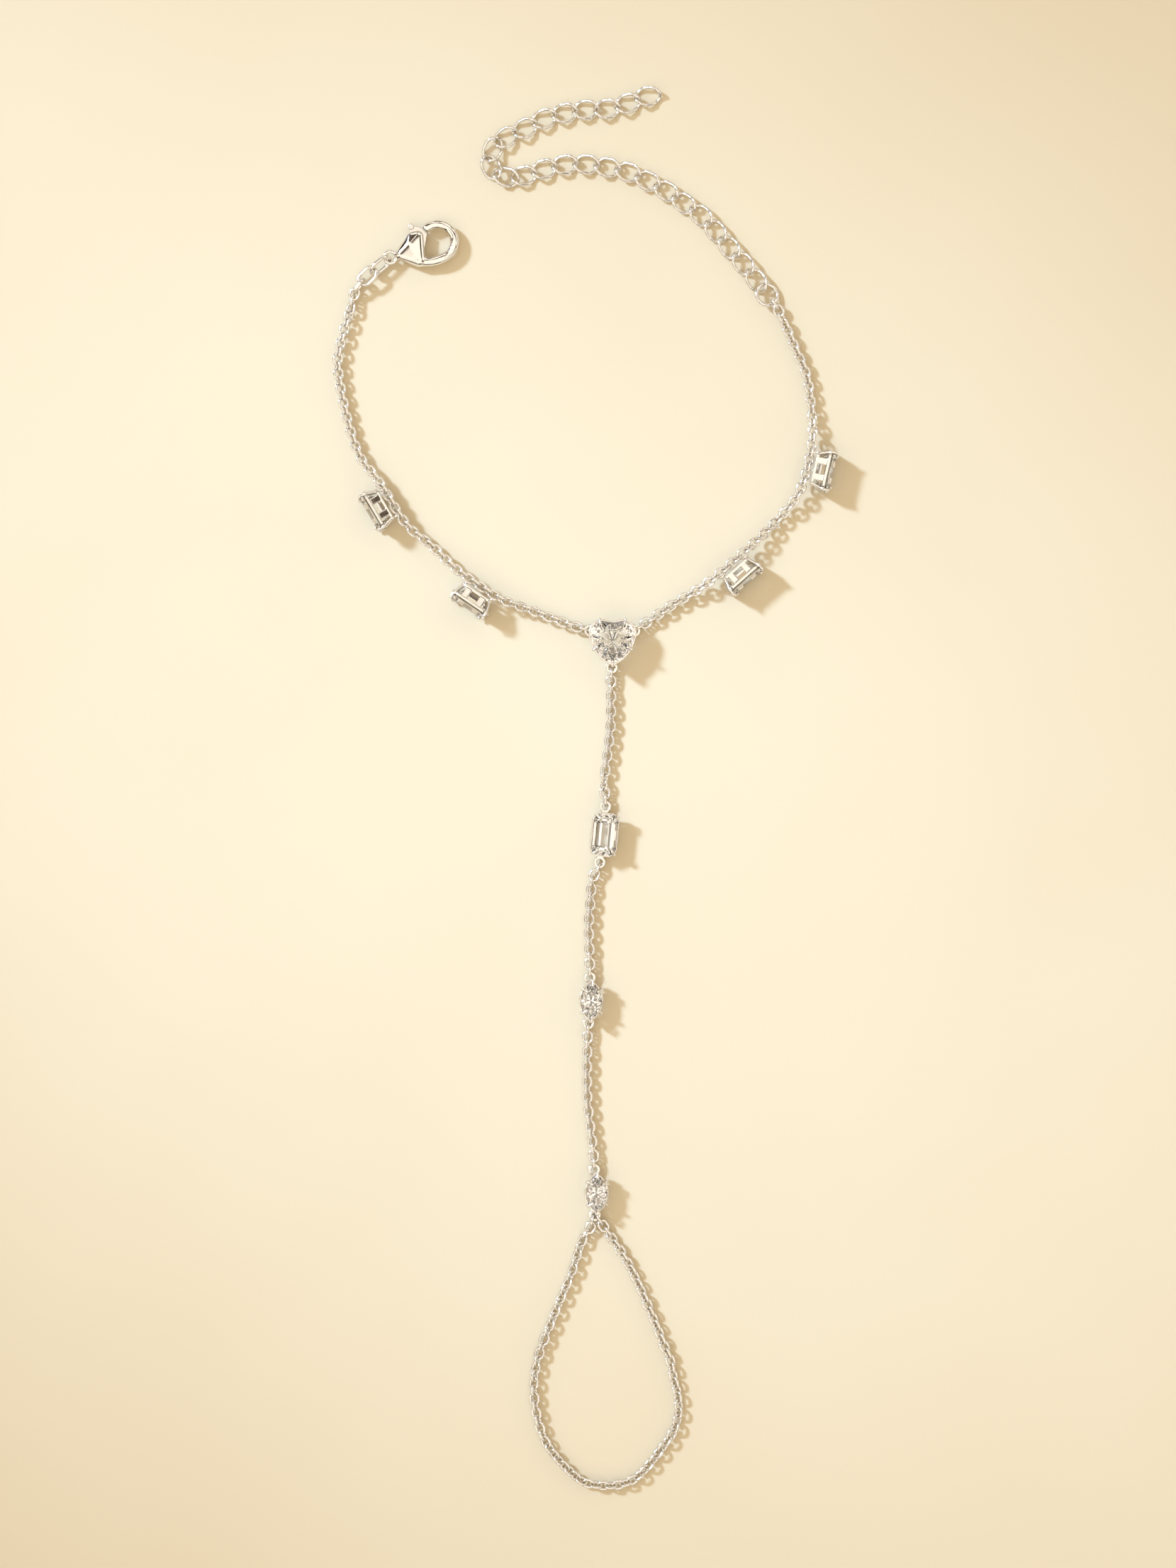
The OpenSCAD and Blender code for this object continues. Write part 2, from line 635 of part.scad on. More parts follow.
// A setting on a wrist chain, lying on its side with the stone away from the wrist
function station_link(distance) = round((distance - cable_eye) / cable_pitch);
module on_station(s, distance, side) {
    k = 1 + station_link(distance);
    d = heading(s, k);
    translate(s[k])
        rotate([0, 0, atan2(d.y, d.x) + (side > 0 ? 0 : 180)])
            translate([0, chain_back, 0]) rotate([-90, 0, 0]) children();
}
rung_width = 0.5;
module rungs() {
    length = emerald_width - 2 * foot_inset - rail_width;
    for (side = [-1, 1])
        translate([side * solder_step * cable_pitch - rung_width / 2, -length / 2, 0])
            cube([rung_width, length, rail_height]);
}
// A link behind the setting, with the solder that joins it to a rung
module soldered_link(s, i, count, upright_end, side) {
    turn = roll(i, count, upright_end);
    up = side * sign(cos(turn)) * cable_bend * sin(turn);
    out = cable_bend * abs(cos(turn));
    along(s[1 + i], heading(s, 1 + i), turn) cable_link();
    along(s[1 + i], heading(s, 1 + i), 0)
        translate([0, side * out, up])
            rotate([-90 * side, 0, 0])
                cylinder(d = solder_d, h = chain_back - out + rail_height / 2, $fn = 16);
}
module wrist_setting(s, count, upright_end, distance, side) {
    on_station(s, distance, side) {
        emerald_basket();
        rungs();
    }
    for (end = [-1, 1])
        soldered_link(s, station_link(distance) + end * solder_step, count, upright_end, side);
}
soldered_links = [
    for (distance = [station_near, station_far], end = [-1, 1]) station_link(distance) + end * solder_step
];

// Sub-parts
module setting_1() { color("silver") wrist_setting(left_stops, left_count, false, station_far, 1); }
module setting_2() { color("silver") wrist_setting(left_stops, left_count, false, station_near, 1); }
module setting_3() { color("silver") wrist_setting(right_stops, right_count, true, station_near, -1); }
module setting_4() { color("silver") wrist_setting(right_stops, right_count, true, station_far, -1); }
module stone_1() { color("white") on_station(left_stops, station_far, 1) emerald_stone_at(seat_h); }
module stone_2() { color("white") on_station(left_stops, station_near, 1) emerald_stone_at(seat_h); }
module stone_3() { color("white") on_station(right_stops, station_near, -1) emerald_stone_at(seat_h); }
module stone_4() { color("white") on_station(right_stops, station_far, -1) emerald_stone_at(seat_h); }
module wrist_chain_left() {
    color("silver") links(left_stops, 1, left_count, false, soldered_links);
}
module wrist_chain_right() {
    color("silver") links(right_stops, 1, right_count, true, soldered_links);
}
module heart_setting() {
    color("silver")
        translate(heart_place) {
            basket(heart_outline(), corner_prongs(heart_outline(), [0, 4, 10, 14, 20]), heart_seat_h);
            for (e = heart_eyes) eye(e, -e, heart_neck, eye_level);
        }
}
module heart_stone() { color("white") translate(heart_place) brilliant(heart_outline(), heart_seat_h); }
module hand_chain_1() { color("silver") links(hand_stops, 1, hand_count_1, true); }
module hand_chain_2() { color("silver") links(hand_stops, emerald_stop + 2, hand_count_2, true); }
module hand_chain_3() { color("silver") links(hand_stops, marquise_stop_1 + 2, hand_count_3, true); }
module emerald_setting() {
    color("silver")
        on_hand(emerald_stop, emerald_width / 2) {
            emerald_basket();
            end_eyes(emerald_span, emerald_neck, emerald_width / 2);
        }
}
module emerald_stone() { color("white") on_hand(emerald_stop, emerald_width / 2) emerald_stone_at(seat_h); }
module marquise_setting(stop) {
    color("silver")
        on_hand(stop, marquise_width / 2) {
            marquise_basket();
            end_eyes(marquise_span, marquise_neck, marquise_width / 2);
        }
}
module marquise_stone(stop) {
    color("white") on_hand(stop, marquise_width / 2) brilliant(marquise_outline(), seat_h);
}
module marquise_setting_1() { marquise_setting(marquise_stop_1); }
module marquise_stone_1() { marquise_stone(marquise_stop_1); }
module marquise_setting_2() { marquise_setting(marquise_stop_2); }
module marquise_stone_2() { marquise_stone(marquise_stop_2); }

module end_link() {
    color("silver")
        along(left_stops[left_count + 1], heading(left_stops, left_count + 1), 85)
            oval_link(end_link_length, end_link_width, joint_wire);
}
module middle_ring() {
    color("silver")
        along(left_stops[left_count + 2], heading(left_stops, left_count + 2), -15)
            oval_link(middle_ring_length, middle_ring_width, joint_wire);
}
module clasp_ring() {
    color("silver")
        along(left_stops[left_count + 3], heading(left_stops, left_count + 3), 60)
            oval_link(clasp_ring_length, clasp_ring_width, joint_wire);
}
module clasp_frame() {
    translate(left_stops[left_count + 4]) rotate([0, 0, clasp_turn]) children();
}
module clasp_body() {
    color("silver")
        clasp_frame() {
            wire_ring(clasp_eye, clasp_eye_wire);
            hook_arc(hook_middle, hook_bend, hook_start - hook_tuck, hook_sweep + hook_tuck, hook_wire);
            difference() {
                union() {
                    hull()
                        for (b = body_balls)
                            translate([b.x, b.y, 0]) sphere(r = b.z * clasp_thick / 2.2, $fn = 24);
                    hook_arc(arm_middle, arm_bend, arm_start, hook_start - arm_start, hook_wire + arm_swell);
                }
                lever_slot();
            }
            translate(pivot) cylinder(d = pin_d, h = clasp_thick - hook_wire / 2, center = true, $fn = 32);
        }
}
hook_middle = [hook_reach, hook_rise];
// The arm's arc runs on from the hook's in the same direction
arm_middle = hook_middle - (arm_bend - hook_bend) * [cos(hook_start), sin(hook_start)];
module hook_arc(middle, bend, start, sweep, wire) {
    translate(middle)
        rotate([0, 0, start])
            rotate_extrude(angle = sweep, $fn = 48) translate([bend, 0]) circle(d = wire, $fn = 24);
}
// Room for the lever between the cheeks, over its whole travel
module lever_slot() {
    thick = lever_thick + 2 * lever_clear;
    translate(pivot) {
        rotate([0, 0, slot_start])
            rotate_extrude(angle = slot_sweep, $fn = 48)
                translate([0, -thick / 2]) square([slot_reach, thick]);
        cylinder(d = hub_d + 5 * lever_clear, h = thick, center = true, $fn = 32);
    }
}
module clasp_lever() {
    color("silver")
        clasp_frame()
            difference() {
                union() {
                    translate(pivot) cylinder(d = hub_d, h = lever_thick, center = true, $fn = 32);
                    linear_extrude(lever_thick, center = true)
                        polygon([
                            pivot + [0.6, 0.1], gate_end, gate_top, thumb + [0.35, 0.1], thumb - [0.35, 0.1],
                            pivot + [-0.4, 3.8], pivot + [-0.05, 0.6]
                        ]);
                    translate(thumb) cylinder(d = thumb_d, h = thumb_thick, center = true, $fn = 32);
                }
                translate(pivot)
                    cylinder(d = pin_d + 2 * lever_clear, h = 2 * lever_thick, center = true, $fn = 32);
            }
}

module extender_ring() {
    color("silver")
        along(ring_place, flat(heading(curb_stops, 1)), ring_tilt)
            wire_ring(ring_outer, ring_wire);
}
function placed(p, c, d) = c + p.x * d + p.y * [-d.y, d.x, 0] + [0, 0, p.z];
module extender_chain() {
    color("silver")
        polyhedron(
            points = [
                for (k = [1:curb_count])
                    let (d = flat(heading(curb_stops, k)))
                    each [for (p = curb_shell) placed(p, curb_stops[k], d)]
            ],
            faces = [for (k = [0:curb_count - 1]) each shift_faces(curb_faces, k * len(curb_shell))]
        );
}

// The finger loop's tube, swept along the route's own points
module finger_loop() {
    start = hand_stops[len(hand_stops) - 1];
    line = [for (p = finger_route) [start.x + p.x, start.y + p.y, tube_d / 2]];
    n = len(line);
    color("silver")
        polyhedron(
            points = [
                for (k = [0:n - 1])
                    let (
                        ahead = unit(line[min(k + 1, n - 1)] - line[max(k - 1, 0)]),
                        across = cross([0, 0, 1], ahead)
                    )
                    for (i = [0:tube_sides - 1])
                        let (a = 360 * i / tube_sides)
                        line[k] + tube_d / 2 * (cos(a) * across + sin(a) * [0, 0, 1])
            ],
            faces = stack_faces(tube_sides, n)
        );
}

clasp_body();
clasp_lever();
clasp_ring();
middle_ring();
end_link();
wrist_chain_left();
wrist_chain_right();
setting_1();
stone_1();
setting_2();
stone_2();
setting_3();
stone_3();
setting_4();
stone_4();
heart_setting();
heart_stone();
hand_chain_1();
emerald_setting();
emerald_stone();
hand_chain_2();
marquise_setting_1();
marquise_stone_1();
hand_chain_3();
marquise_setting_2();
marquise_stone_2();
finger_loop();
extender_ring();
extender_chain();
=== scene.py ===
import math

import bmesh
import bpy
import numpy as np
from mathutils import Matrix, Vector


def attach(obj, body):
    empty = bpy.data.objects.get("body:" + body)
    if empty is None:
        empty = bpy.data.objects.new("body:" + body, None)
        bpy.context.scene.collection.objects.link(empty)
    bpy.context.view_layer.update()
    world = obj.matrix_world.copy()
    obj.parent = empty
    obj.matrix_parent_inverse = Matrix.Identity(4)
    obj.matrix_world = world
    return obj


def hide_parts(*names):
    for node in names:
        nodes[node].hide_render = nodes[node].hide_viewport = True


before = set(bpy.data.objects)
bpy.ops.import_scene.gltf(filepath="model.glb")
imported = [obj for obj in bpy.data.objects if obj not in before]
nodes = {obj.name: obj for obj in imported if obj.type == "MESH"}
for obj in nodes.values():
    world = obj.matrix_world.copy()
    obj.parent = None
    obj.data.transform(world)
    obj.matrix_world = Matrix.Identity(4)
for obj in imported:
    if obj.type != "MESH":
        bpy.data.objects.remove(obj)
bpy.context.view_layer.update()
mm = 0.001
weld = 1e-6  # m, corners closer than this are one corner
print("frame loaded:", len(nodes), "pieces")


# An sRGB hex code as the linear colour that shaders take
def linearColour(hexCode):
    channels = [int(hexCode[i:i + 2], 16) / 255 for i in (1, 3, 5)]
    return (*[c / 12.92 if c <= 0.04045 else ((c + 0.055) / 1.055) ** 2.4 for c in channels], 1.0)


# A new node with its settings; an input takes a value, or another node's output, which is then linked
def addNode(tree, kind, settings=None, inputs=None):
    node = tree.nodes.new(kind)
    for key, value in (settings or {}).items():
        setattr(node, key, value)
    for key, value in (inputs or {}).items():
        if isinstance(value, bpy.types.NodeSocket):
            tree.links.new(value, node.inputs[key])
        else:
            node.inputs[key].default_value = value
    return node


def addObject(name, mesh):
    piece = bpy.data.objects.new(name, mesh)
    bpy.context.scene.collection.objects.link(piece)
    return piece


# What the worker's modifiers make, as a mesh of its own
def asPlainMesh(worker, name):
    graph = bpy.context.evaluated_depsgraph_get()
    mesh = bpy.data.meshes.new_from_object(worker.evaluated_get(graph), depsgraph=graph)
    bpy.data.objects.remove(worker)
    shell = bmesh.new()
    shell.from_mesh(mesh)
    bmesh.ops.recalc_face_normals(shell, faces=shell.faces)
    shell.to_mesh(mesh)
    shell.free()
    mesh.name = name
    return addObject(name, mesh)


def setInput(modifier, tree, name, value):
    socket = next(s for s in tree.interface.items_tree if s.name == name and s.in_out == "INPUT")
    modifier[socket.identifier] = value


# What each piece ends with: its one material, its body and the CAD nodes that it stands for
def finished(piece, body, material, *replaced):
    piece.data.materials.clear()
    piece.data.materials.append(material)
    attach(piece, body)
    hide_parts(*replaced)
    print(piece.name, "made with", sum(len(f.vertices) - 2 for f in piece.data.polygons), "triangles")


# Camera: straight down over the flat-laid bracelet, on a long lens
cameraSetup = {
    "over": (0.35, 0.57),  # mm, what the middle of the picture looks at
    "height": 600,  # mm above the floor
    "viewHeight": 221.2,  # mm of floor from the picture's top edge to its bottom edge
    "sensor": 36,  # mm
    "nearest": 20,  # mm, nothing closer to the lens is drawn
}
cameraData = bpy.data.cameras.new("camera")
cameraData.sensor_width = cameraSetup["sensor"]
cameraData.lens = cameraSetup["sensor"] * cameraSetup["height"] / cameraSetup["viewHeight"]
cameraData.clip_start = cameraSetup["nearest"] * mm
camera = addObject("camera", cameraData)
camera.location = (*[v * mm for v in cameraSetup["over"]], cameraSetup["height"] * mm)
bpy.context.scene.camera = camera
bpy.context.scene.view_settings.view_transform = "Standard"


# Light: a soft window at the upper left, inside a pale dome with darker flags that the metal and the
# stones mirror
windowLight = {
    "aim": (-18, 14),  # mm, where the pool of light is brightest
    "bearing": 148, "rise": 36,  # degrees, which way the light comes from
    "away": 1500, "size": 225,  # mm
    "spread": 10,  # degrees, narrow enough to leave a pool on the floor
    "power": 0.289, "colour": "#B5D4FF",
}
dome = {
    "pale": "#FFF5E6", "flag": "#463626", "strength": 1.36, "turn": (0.35, 0.2, 0.9),
    "patch": 2.9, "patchDetail": 1.0, "patchEdge": (0.43, 0.47),
    "open": (0.93, 0.98),  # height over which the flags give way to pale cloth overhead
    "horizon": (0.1, 0.32),  # height over which the dark ring at the floor ends
}
lightPaths = {"all": 24, "throughStone": 20, "glossy": 8}  # light crosses a cut stone many times


def hangWindow(p):
    data = bpy.data.lights.new("window", "AREA")
    data.size = p["size"] * mm
    data.spread = math.radians(p["spread"])
    data.energy = p["power"]
    data.color = linearColour(p["colour"])[:3]
    lamp = addObject("window", data)
    bearing, rise = math.radians(p["bearing"]), math.radians(p["rise"])
    flat = math.cos(rise)
    towards = Vector((math.cos(bearing) * flat, math.sin(bearing) * flat, math.sin(rise)))
    lamp.location = Vector((*p["aim"], 0)) * mm + towards * p["away"] * mm
    lamp.rotation_euler = towards.to_track_quat("Z", "Y").to_euler()
    lamp.visible_camera = False


def raiseDome(p):
    world = bpy.data.worlds.new("dome")
    world.use_nodes = True
    tree = world.node_tree
    towards = addNode(tree, "ShaderNodeTexCoord").outputs["Generated"]
    around = addNode(tree, "ShaderNodeMapping", None, {"Vector": towards, "Location": p["turn"]})
    flags = addNode(tree, "ShaderNodeTexNoise", None, {
        "Vector": around.outputs[0], "Scale": p["patch"], "Detail": p["patchDetail"]})
    up = addNode(tree, "ShaderNodeSeparateXYZ", None, {0: towards})
    patchShare, openShare, ringShare = (
        addNode(tree, "ShaderNodeMapRange", {"interpolation_type": "SMOOTHSTEP"}, {
            "Value": value, "From Min": low, "From Max": high}).outputs["Result"]
        for value, (low, high) in (
            (flags.outputs["Fac"], p["patchEdge"]),
            (up.outputs["Z"], p["open"]),
            (up.outputs["Z"], p["horizon"]),
        )
    )
    overhead = addNode(tree, "ShaderNodeMath", {"operation": "MAXIMUM"}, {0: patchShare, 1: openShare})
    share = addNode(tree, "ShaderNodeMath", {"operation": "MULTIPLY"}, {
        0: overhead.outputs[0], 1: ringShare})
    tone = addNode(tree, "ShaderNodeMix", {"data_type": "RGBA"}, {
        0: share.outputs[0], 6: linearColour(p["flag"]), 7: linearColour(p["pale"])})
    sky = tree.nodes["Background"]
    sky.inputs["Strength"].default_value = p["strength"]
    tree.links.new(tone.outputs[2], sky.inputs["Color"])
    bpy.context.scene.world = world


hangWindow(windowLight)
raiseDome(dome)
bpy.context.scene.cycles.max_bounces = lightPaths["all"]
bpy.context.scene.cycles.transmission_bounces = lightPaths["throughStone"]
bpy.context.scene.cycles.glossy_bounces = lightPaths["glossy"]
print("camera and lights set")


# Rhodium plate over cast or drawn silver: a mirror-bright, slightly warm white metal, softened by polishing
# ripples, with painted shade: the colour turns dark brown in recesses that an ambient-occlusion test finds
# enclosed
castPlate = {
    # The dark brown third colour is painted shade, mixed in where the surface lies in a recess
    "name": "rhodiumPlatedCastSilver", "bright": "#F4F1EC", "hazed": "#E4DFD8", "recessShade": "#7D6C5A",
    "hazeSize": 2.2, "hazeDetail": 3.0, "hazeGrain": 0.6, "hazeEdge": (0.3, 0.7),
    "rippleSize": 0.8, "rippleDetail": 4.0, "rippleGrain": 0.55, "rippleDepth": 0.006, "rippleShare": 0.8,
    "roughLow": 0.06, "roughHigh": 0.17,
    "recess": 0.45, "recessSamples": 6, "recessEdge": (0.1, 0.5),
}
wirePlate = dict(
    castPlate, name="rhodiumPlatedDrawnWire", rippleSize=0.45, rippleDepth=0.003,
    roughLow=0.09, roughHigh=0.2, recess=0.3,
)
leverPlate = dict(
    castPlate, name="rhodiumPlatedStampedLever", bright="#E2DDD6", rippleSize=0.18, rippleDepth=0.004,
    roughLow=0.16, roughHigh=0.3, recess=0.35,
)


def platedMetal(look):
    material = bpy.data.materials.new(look["name"])
    material.use_nodes = True
    tree = material.node_tree
    shader = tree.nodes["Principled BSDF"]
    shader.inputs["Metallic"].default_value = 1.0
    place = addNode(tree, "ShaderNodeTexCoord").outputs["Object"]
    haze = addNode(tree, "ShaderNodeTexNoise", None, {
        "Vector": place, "Scale": 1 / (look["hazeSize"] * mm),
        "Detail": look["hazeDetail"], "Roughness": look["hazeGrain"]})
    ripple = addNode(tree, "ShaderNodeTexNoise", None, {
        "Vector": place, "Scale": 1 / (look["rippleSize"] * mm),
        "Detail": look["rippleDetail"], "Roughness": look["rippleGrain"]})
    tone = addNode(tree, "ShaderNodeMix", {"data_type": "RGBA"}, {
        0: haze.outputs["Fac"], 6: linearColour(look["bright"]), 7: linearColour(look["hazed"])})
    # Painted shade: the base colour is mixed towards the dark brown where the ambient-occlusion test finds
    # the surface enclosed
    openness = addNode(tree, "ShaderNodeAmbientOcclusion", {"samples": look["recessSamples"]}, {
        "Distance": look["recess"] * mm})
    unshaded = addNode(tree, "ShaderNodeMapRange", None, {
        "Value": openness.outputs["AO"],
        "From Min": look["recessEdge"][0], "From Max": look["recessEdge"][1]})
    colour = addNode(tree, "ShaderNodeMix", {"data_type": "RGBA"}, {
        0: unshaded.outputs["Result"], 6: linearColour(look["recessShade"]), 7: tone.outputs[2]})
    tree.links.new(colour.outputs[2], shader.inputs["Base Color"])
    rough = addNode(tree, "ShaderNodeMapRange", None, {
        "Value": haze.outputs["Fac"], "From Min": look["hazeEdge"][0], "From Max": look["hazeEdge"][1],
        "To Min": look["roughLow"], "To Max": look["roughHigh"]})
    tree.links.new(rough.outputs["Result"], shader.inputs["Roughness"])
    bump = addNode(tree, "ShaderNodeBump", None, {
        "Height": ripple.outputs["Fac"], "Distance": look["rippleDepth"] * mm,
        "Strength": look["rippleShare"]})
    tree.links.new(bump.outputs["Normal"], shader.inputs["Normal"])
    return material


# Cubic zirconia, cut and polished on a lap: water-clear and far more refractive than glass, so its
# facets turn black and white; handling leaves a faint film
gem = {
    "name": "polishedCubicZirconia", "clear": "#FFFFFF", "filmed": "#FBF8F4",
    "ior": 2.15, "filmSize": 1.4, "filmDetail": 3.0, "filmEdge": (0.35, 0.75),
    "roughLow": 0.0, "roughHigh": 0.035,
}


def clearGem(look):
    material = bpy.data.materials.new(look["name"])
    material.use_nodes = True
    tree = material.node_tree
    shader = tree.nodes["Principled BSDF"]
    shader.inputs["Transmission Weight"].default_value = 1.0
    shader.inputs["IOR"].default_value = look["ior"]
    place = addNode(tree, "ShaderNodeTexCoord").outputs["Object"]
    film = addNode(tree, "ShaderNodeTexNoise", None, {
        "Vector": place, "Scale": 1 / (look["filmSize"] * mm), "Detail": look["filmDetail"]})
    tone = addNode(tree, "ShaderNodeMix", {"data_type": "RGBA"}, {
        0: film.outputs["Fac"], 6: linearColour(look["clear"]), 7: linearColour(look["filmed"])})
    tree.links.new(tone.outputs[2], shader.inputs["Base Color"])
    rough = addNode(tree, "ShaderNodeMapRange", None, {
        "Value": film.outputs["Fac"], "From Min": look["filmEdge"][0], "From Max": look["filmEdge"][1],
        "To Min": look["roughLow"], "To Max": look["roughHigh"]})
    tree.links.new(rough.outputs["Result"], shader.inputs["Roughness"])
    return material


castSilver = platedMetal(castPlate)
wireSilver = platedMetal(wirePlate)
leverSilver = platedMetal(leverPlate)
zirconia = clearGem(gem)
for name, node in nodes.items():
    finish = zirconia if "stone" in name else castSilver if "setting" in name else wireSilver
    for slot in node.material_slots:
        slot.material = finish
print("materials made")


# One wire link: an oval bent from round wire and, for the extender, twisted from end to end
def linkTree():
    tree = bpy.data.node_groups.new("wireLink", "GeometryNodeTree")
    for name in ("Half Length", "Half Width", "Straight", "Wire", "Twist"):
        tree.interface.new_socket(name=name, in_out="INPUT", socket_type="NodeSocketFloat")
    for name in ("Steps", "Wire Sides"):
        tree.interface.new_socket(name=name, in_out="INPUT", socket_type="NodeSocketInt")
    tree.interface.new_socket(name="Link", in_out="OUTPUT", socket_type="NodeSocketGeometry")
    given = addNode(tree, "NodeGroupInput").outputs
    circle = addNode(tree, "GeometryNodeCurvePrimitiveCircle", None, {
        "Resolution": given["Steps"], "Radius": 1.0})
    position = addNode(tree, "GeometryNodeInputPosition").outputs[0]
    at = addNode(tree, "ShaderNodeSeparateXYZ", None, {0: position})
    side = addNode(tree, "ShaderNodeMath", {"operation": "SIGN"}, {0: at.outputs["X"]})
    shift = addNode(tree, "ShaderNodeMath", {"operation": "MULTIPLY"}, {
        0: side.outputs[0], 1: given["Straight"]})
    x = addNode(tree, "ShaderNodeMath", {"operation": "MULTIPLY_ADD"}, {
        0: at.outputs["X"], 1: given["Half Length"], 2: shift.outputs[0]})
    y = addNode(tree, "ShaderNodeMath", {"operation": "MULTIPLY"}, {
        0: at.outputs["Y"], 1: given["Half Width"]})
    turn = addNode(tree, "ShaderNodeMath", {"operation": "MULTIPLY"}, {
        0: at.outputs["X"], 1: given["Twist"]})
    cosine = addNode(tree, "ShaderNodeMath", {"operation": "COSINE"}, {0: turn.outputs[0]})
    sine = addNode(tree, "ShaderNodeMath", {"operation": "SINE"}, {0: turn.outputs[0]})
    across = addNode(tree, "ShaderNodeMath", {"operation": "MULTIPLY"}, {
        0: y.outputs[0], 1: cosine.outputs[0]})
    out = addNode(tree, "ShaderNodeMath", {"operation": "MULTIPLY"}, {0: y.outputs[0], 1: sine.outputs[0]})
    bent = addNode(tree, "ShaderNodeCombineXYZ", None, {
        0: x.outputs[0], 1: across.outputs[0], 2: out.outputs[0]})
    line = addNode(tree, "GeometryNodeSetPosition", None, {
        "Geometry": circle.outputs[0], "Position": bent.outputs[0]})
    half = addNode(tree, "ShaderNodeMath", {"operation": "MULTIPLY"}, {0: given["Wire"], 1: 0.5})
    wire = addNode(tree, "GeometryNodeCurvePrimitiveCircle", None, {
        "Resolution": given["Wire Sides"], "Radius": half.outputs[0]})
    shell = addNode(tree, "GeometryNodeCurveToMesh", None, {
        "Curve": line.outputs[0], "Profile Curve": wire.outputs[0]})
    addNode(tree, "NodeGroupOutput", None, {"Link": shell.outputs[0]})
    return tree


wireLink = linkTree()
linkSizes = [s.name for s in wireLink.interface.items_tree if s.in_out == "INPUT"]


# The two ends that both chains' trees share: what goes in and the one link, then the copies and their metal
def startTree(name, extras):
    tree = bpy.data.node_groups.new(name, "GeometryNodeTree")
    tree.interface.new_socket(name="Geometry", in_out="INPUT", socket_type="NodeSocketGeometry")
    for socket in wireLink.interface.items_tree:
        if socket.in_out == "INPUT":
            tree.interface.new_socket(name=socket.name, in_out="INPUT", socket_type=socket.socket_type)
    for extra, kind in extras:
        tree.interface.new_socket(name=extra, in_out="INPUT", socket_type=kind)
    tree.interface.new_socket(name="Geometry", in_out="OUTPUT", socket_type="NodeSocketGeometry")
    given = addNode(tree, "NodeGroupInput").outputs
    link = addNode(tree, "GeometryNodeGroup", {"node_tree": wireLink}, {n: given[n] for n in linkSizes})
    return tree, given, link.outputs[0]


def endTree(tree, given, points, link, rotation):
    copies = addNode(tree, "GeometryNodeInstanceOnPoints", None, {
        "Points": points, "Instance": link, "Rotation": rotation})
    real = addNode(tree, "GeometryNodeRealizeInstances", None, {0: copies.outputs[0]})
    smooth = addNode(tree, "GeometryNodeSetShadeSmooth", None, {"Geometry": real.outputs[0]})
    metal = addNode(tree, "GeometryNodeSetMaterial", None, {
        "Geometry": smooth.outputs[0], "Material": given["Metal"]})
    addNode(tree, "NodeGroupOutput", None, {0: metal.outputs[0]})


# Finger loop: real links hung from the last setting's eye, in place of the plain tube
fingerLoop = {
    "eye": (1.294, -60.168),  # mm, middle of the last setting's lower eye
    "wire": 0.38, "length": 1.96, "width": 1.6, "steps": 30, "wireSides": 12,
    "count": 85,  # odd, so that both end links stand upright in the eye
    "floorGap": 0.03, "rollLinks": 4, "sway": 3.5, "seed": 7,
    # degrees, how far the links lean over, which drifts along the loop
    "lyingRoll": 25, "mostRoll": 42, "driftPace": 0.13,
    "route": (  # mm from the eye, down the left side and up the right
        (-0.37, -0.74), (-0.62, -1.75), (-1.8, -3.7), (-3.2, -8), (-4.6, -11.4), (-6.2, -15.3),
        (-7.8, -19.5), (-8.5, -23.2), (-8.5, -25.5), (-8.2, -27.9), (-7.6, -30.2), (-6.7, -32.3),
        (-5.4, -34.1), (-3.7, -35.9), (-1.5, -37.6), (1, -38.1), (3.3, -38), (5.5, -37.2),
        (7.5, -35.4), (9.5, -32.8), (11.1, -30.4), (11.8, -27.9), (11.7, -25.4), (11.1, -22.9),
        (10.6, -20.4), (9.6, -18), (8.8, -15.9), (6.9, -11.4), (5.8, -9), (4.4, -6.3),
        (3, -4.1), (1.55, -2.0), (0.66, -0.6),
    ),
}
wanderEdge = (0.4, 0.6)  # values of the noise between which the links' lean drifts


